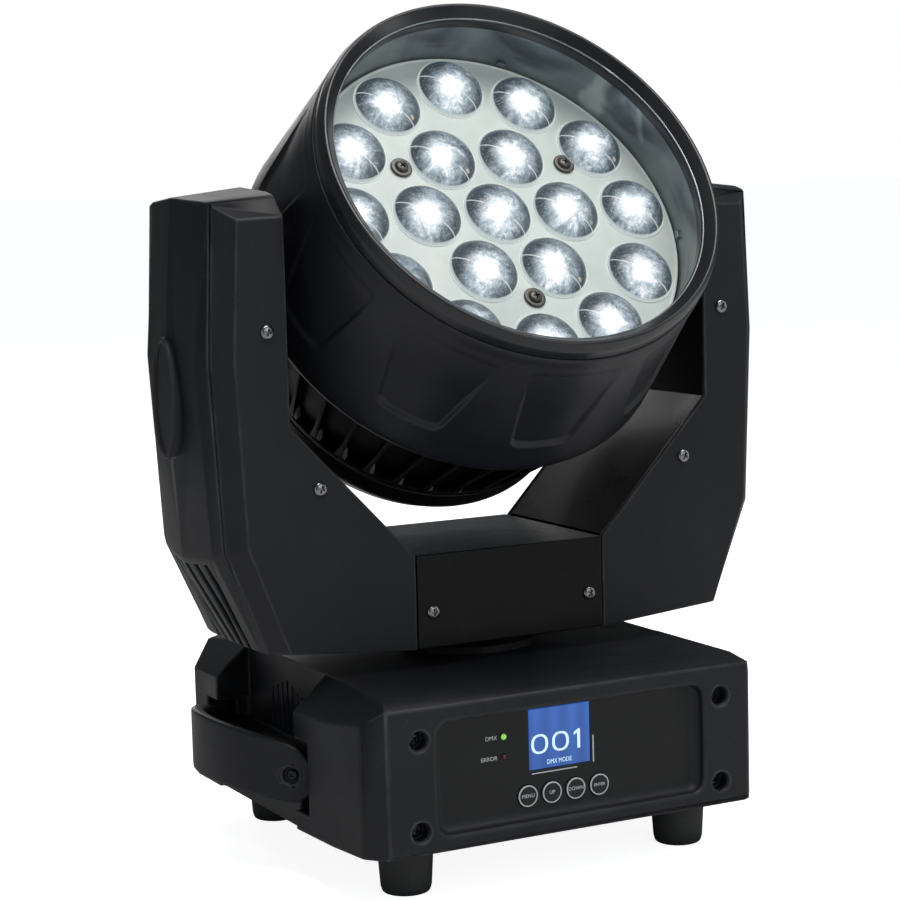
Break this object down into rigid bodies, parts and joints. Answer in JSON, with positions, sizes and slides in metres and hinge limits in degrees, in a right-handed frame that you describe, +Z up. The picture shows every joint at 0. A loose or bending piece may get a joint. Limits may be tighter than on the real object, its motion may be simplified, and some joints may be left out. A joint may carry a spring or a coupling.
{
  "type": "moving head light",
  "caption": "Stage wash light: a motor-driven yoke pans on a base with carrying handles, and a round head with zoom lenses tilts in the yoke.",
  "frame": {"origin": "centre of the base's underside, on the pan axis; the rubber feet reach 26 mm below it", "axes": "+Z up along the pan axis, display panel facing -Y, +X to the right of someone looking at the display"},
  "size_m": [0.3404, 0.2689, 0.4466],
  "materials": {
    "black_plastic": "satin, fine texture",
    "gloss_rim": "glossy black",
    "painted_sheet": "satin black powder coat",
    "satin_baffle": "satin",
    "rubber": "matt",
    "steel": "brushed",
    "chrome": "polished",
    "supply_case": "satin",
    "heat_sink_aluminium": "satin",
    "circuit_board": "satin",
    "lens_plate_white": "satin white",
    "lens_glass": "clear",
    "display_blue": "glossy",
    "led_green": "glossy",
    "led_red": "glossy",
    "nylon": "matt"
  },
  "bodies": {
    "base": {"base_shell": "black_plastic", "base_bottom_plate": "painted_sheet", "foot_front_left": "rubber", "foot_front_right": "rubber", "foot_rear_left": "rubber", "foot_rear_right": "rubber", "handle_left": "black_plastic", "handle_right": "black_plastic", "front_panel": "painted_sheet", "lcd_display": "display_blue", "dmx_led": "led_green", "error_led": "led_red", "control_board": "circuit_board", "power_supply": "supply_case", "rear_panel": "painted_sheet", "power_inlet": "black_plastic", "power_outlet": "black_plastic", "dmx_input": "chrome", "dmx_output": "chrome", "pan_shaft": "steel", "pan_pulley": "nylon"},
    "yoke": {"yoke_frame": "steel", "crossbar_cover": "painted_sheet", "pan_bearing": "steel", "arm_inner_plate_left": "painted_sheet", "arm_inner_plate_right": "painted_sheet", "arm_cover_left": "black_plastic", "arm_cover_right": "black_plastic", "pan_motor": "steel", "pan_belt": "rubber", "tilt_motor": "steel", "tilt_belt": "rubber", "tilt_bearing_left": "steel", "tilt_bearing_right": "steel"},
    "head": {"front_ring": "gloss_rim", "baffle_ring": "satin_baffle", "head_shroud": "black_plastic", "louvre_ring": "black_plastic", "rear_cover": "black_plastic", "heat_sink": "heat_sink_aluminium", "led_board": "circuit_board", "head_chassis": "steel", "tilt_hub_left": "steel", "tilt_hub_right": "steel", "tilt_pulley": "nylon", "fan_frame": "black_plastic", "zoom_motor": "black_plastic"},
    "zoom_carriage": {"lens_plate": "lens_plate_white", "lens_array": "lens_glass", "zoom_nut": "nylon", "guide_rod_1": "steel", "guide_rod_2": "steel"},
    "zoom_spindle": {"zoom_screw": "steel"},
    "fan": {"fan_rotor": "black_plastic"},
    "pan_pinion": {"pan_motor_pulley": "steel"},
    "tilt_pinion": {"tilt_motor_pulley": "steel"},
    "menu_key": {"menu_button": "black_plastic"},
    "up_key": {"up_button": "black_plastic"},
    "down_key": {"down_button": "black_plastic"},
    "enter_key": {"enter_button": "black_plastic"}
  },
  "joints": [
    {"name": "pan", "type": "hinge", "parent": "base", "child": "yoke", "pos_m": [0, 0, 0], "axis": [0, 0, 1], "range_deg": [-270, 270]},
    {"name": "tilt", "type": "hinge", "parent": "yoke", "child": "head", "pos_m": [0, 0, 0.2765], "axis": [1, 0, 0], "range_deg": [-158.4, 51.6]},
    {"name": "zoom", "type": "slide", "parent": "head", "child": "zoom_carriage", "axis": [0, -0.8028, 0.5962], "range_m": [-0.012, 0.008]},
    {"name": "zoom_spin", "type": "hinge", "parent": "head", "child": "zoom_spindle", "pos_m": [0.02536, 0.03236, 0.37038], "axis": [0, -0.8028, 0.5962], "range_deg": [-560, 380]},
    {"name": "fan_spin", "type": "hinge", "parent": "head", "child": "fan", "pos_m": [0, 0.03773, 0.24848], "axis": [0, -0.8028, 0.5962], "continuous": true},
    {"name": "pan_pinion_spin", "type": "hinge", "parent": "yoke", "child": "pan_pinion", "pos_m": [-0.095, 0, 0.108], "axis": [0, 0, 1], "range_deg": [-905, 905]},
    {"name": "tilt_pinion_spin", "type": "hinge", "parent": "yoke", "child": "tilt_pinion", "pos_m": [0.15175, 0, 0.15], "axis": [1, 0, 0], "range_deg": [-520, 175]},
    {"name": "menu_press", "type": "slide", "parent": "base", "child": "menu_key", "axis": [0, 1, 0], "range_m": [0, 0.0008], "stiffness_N_per_m": 400, "springref_m": -0.0005},
    {"name": "up_press", "type": "slide", "parent": "base", "child": "up_key", "axis": [0, 1, 0], "range_m": [0, 0.0008], "stiffness_N_per_m": 400, "springref_m": -0.0005},
    {"name": "down_press", "type": "slide", "parent": "base", "child": "down_key", "axis": [0, 1, 0], "range_m": [0, 0.0008], "stiffness_N_per_m": 400, "springref_m": -0.0005},
    {"name": "enter_press", "type": "slide", "parent": "base", "child": "enter_key", "axis": [0, 1, 0], "range_m": [0, 0.0008], "stiffness_N_per_m": 400, "springref_m": -0.0005}
  ],
  "couplings": [
    {"joint": "pan_pinion_spin", "follows": "pan", "ratio": -3.3333},
    {"joint": "tilt_pinion_spin", "follows": "tilt", "ratio": 3.25},
    {"joint": "zoom_spin", "follows": "zoom", "rad_per_m": 785.4}
  ]
}
